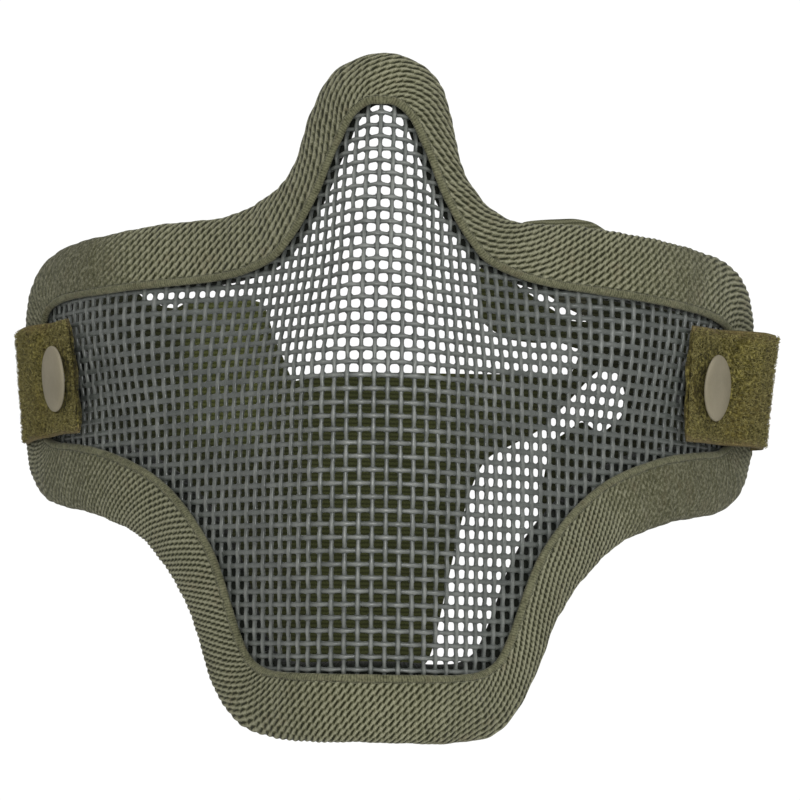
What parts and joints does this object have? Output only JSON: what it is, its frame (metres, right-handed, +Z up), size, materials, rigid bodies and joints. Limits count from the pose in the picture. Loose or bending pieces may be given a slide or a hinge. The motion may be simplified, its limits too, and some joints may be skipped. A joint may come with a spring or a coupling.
{
  "type": "airsoft mesh mask",
  "caption": "Lower-face mask of painted woven wire with a padded fabric edge, loop-tape side tabs on rivets and an elastic head strap with hook patches.",
  "frame": {"origin": "the middle of the line through both rivets, on the wearer's middle plane", "axes": "+Z up, +Y back towards the wearer's head, the mask faces -Y, +X is the picture's right"},
  "size_m": [0.1984, 0.2403, 0.1613],
  "materials": {
    "mesh_paint": "satin",
    "foam": "matt",
    "binding_fabric": "matt",
    "lip_fabric": "matt",
    "thread": "matt",
    "cap_paint": "matt",
    "rivet_steel": "brushed",
    "loop_tape": "matt",
    "elastic": "matt",
    "hook_tape": "matt"
  },
  "bodies": {
    "mask": {"wire_mesh": "mesh_paint", "edge_foam": "foam", "edge_binding": "binding_fabric", "binding_lip": "lip_fabric", "seam_thread": "thread", "left_rivet_cap": "cap_paint", "right_rivet_cap": "cap_paint", "left_rivet_post": "rivet_steel", "right_rivet_post": "rivet_steel", "left_rivet_washer": "rivet_steel", "right_rivet_washer": "rivet_steel"},
    "left_tab": {"left_loop_tape": "loop_tape"},
    "right_tab": {"right_loop_tape": "loop_tape"},
    "head_strap": {"elastic_band": "elastic", "left_hook_patch": "hook_tape", "right_hook_patch": "hook_tape", "left_patch_stitching": "thread", "right_patch_stitching": "thread", "panel_hem_stitching": "thread"}
  },
  "joints": [
    {"name": "left_tab_pivot", "type": "hinge", "parent": "mask", "child": "left_tab", "pos_m": [-0.0794, 0, 0], "axis": [1, 0, 0], "range_deg": [-5, 11]},
    {"name": "right_tab_pivot", "type": "hinge", "parent": "mask", "child": "right_tab", "pos_m": [0.0794, 0, 0], "axis": [1, 0, 0], "range_deg": [-5, 11]},
    {"name": "strap_adjust", "type": "slide", "parent": "left_tab", "child": "head_strap", "axis": [0, 0.9986, -0.0523], "range_m": [-0.015, 0.025]}
  ],
  "couplings": [
    {"joint": "right_tab_pivot", "follows": "left_tab_pivot", "ratio": 1}
  ]
}
